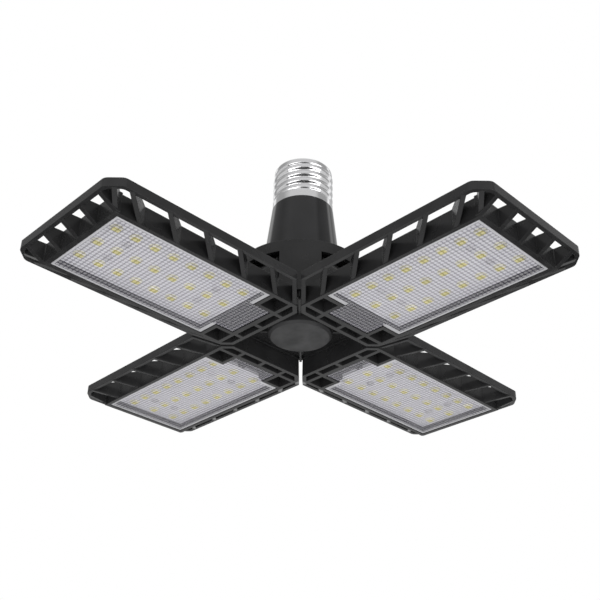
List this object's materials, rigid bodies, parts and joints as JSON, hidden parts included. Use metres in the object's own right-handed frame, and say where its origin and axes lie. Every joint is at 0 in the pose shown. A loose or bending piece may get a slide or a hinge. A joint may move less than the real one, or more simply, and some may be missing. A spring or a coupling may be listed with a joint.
{
  "type": "folding garage light",
  "caption": "Garage lamp with hinged light panels round a hub and driver housing on a screw base; each panel folds up.",
  "frame": {"origin": "on the lamp's axis at the lower rim of the screw shell", "axes": "+Z along the lamp's axis, out of the screw base towards the lampholder; the light panels lie along +X, +Y, -X and -Y below it"},
  "size_m": [0.2262, 0.2262, 0.0921],
  "materials": {
    "frame": "dark grey moulded plastic, fine grain, satin",
    "cap": "dark grey moulded plastic, satin",
    "housing": "black moulded plastic, glossy",
    "lens": "clear plastic with a pattern of small dimples",
    "light_board": "white solder mask, satin",
    "light_chip": "yellow phosphor resin in a white case",
    "screw_base": "nickel-plated, bright",
    "contact": "tin-plated, dull",
    "insulator": "black insulating glass, glossy",
    "steel": "zinc-plated steel",
    "circuit_board": "green solder mask",
    "transformer_tape": "yellow insulating tape",
    "capacitor": "dark blue shrink sleeve",
    "choke_core": "green coated core",
    "chip_black": "black moulding compound",
    "wire_red": "red insulation",
    "wire_white": "white insulation"
  },
  "bodies": {
    "hub": {"centre_contact": "contact", "base_insulator": "insulator", "screw_shell": "screw_base", "driver_housing": "housing", "housing_screws": "steel", "driver_board": "circuit_board", "transformer": "transformer_tape", "mains_capacitor": "capacitor", "output_capacitor": "capacitor", "line_choke": "choke_core", "bridge_rectifier": "chip_black", "switching_transistor": "chip_black", "live_wire": "wire_red", "neutral_wire": "wire_white", "hub_leads": "wire_red", "hub_shell": "frame", "hub_base": "frame", "hub_screws": "steel", "bottom_cap": "cap", "hinge_pin_1": "steel", "hinge_pin_2": "steel", "hinge_pin_3": "steel", "hinge_pin_4": "steel", "friction_washers_1": "steel", "friction_washers_2": "steel", "friction_washers_3": "steel", "friction_washers_4": "steel"},
    "panel_1": {"panel_frame_1": "frame", "lens_1": "lens", "light_board_1": "light_board", "light_chips_1": "light_chip", "board_screws_1": "steel", "panel_lead_1": "wire_red"},
    "panel_2": {"panel_frame_2": "frame", "lens_2": "lens", "light_board_2": "light_board", "light_chips_2": "light_chip", "board_screws_2": "steel", "panel_lead_2": "wire_red"},
    "panel_3": {"panel_frame_3": "frame", "lens_3": "lens", "light_board_3": "light_board", "light_chips_3": "light_chip", "board_screws_3": "steel", "panel_lead_3": "wire_red"},
    "panel_4": {"panel_frame_4": "frame", "lens_4": "lens", "light_board_4": "light_board", "light_chips_4": "light_chip", "board_screws_4": "steel", "panel_lead_4": "wire_red"}
  },
  "joints": [
    {"name": "hinge_1", "type": "hinge", "parent": "hub", "child": "panel_1", "pos_m": [0.0195, 0, -0.045], "axis": [0, -1, 0], "range_deg": [0, 90]},
    {"name": "hinge_2", "type": "hinge", "parent": "hub", "child": "panel_2", "pos_m": [0, 0.0195, -0.045], "axis": [1, 0, 0], "range_deg": [0, 90]},
    {"name": "hinge_3", "type": "hinge", "parent": "hub", "child": "panel_3", "pos_m": [-0.0195, 0, -0.045], "axis": [0, 1, 0], "range_deg": [0, 90]},
    {"name": "hinge_4", "type": "hinge", "parent": "hub", "child": "panel_4", "pos_m": [0, -0.0195, -0.045], "axis": [-1, 0, 0], "range_deg": [0, 90]}
  ]
}
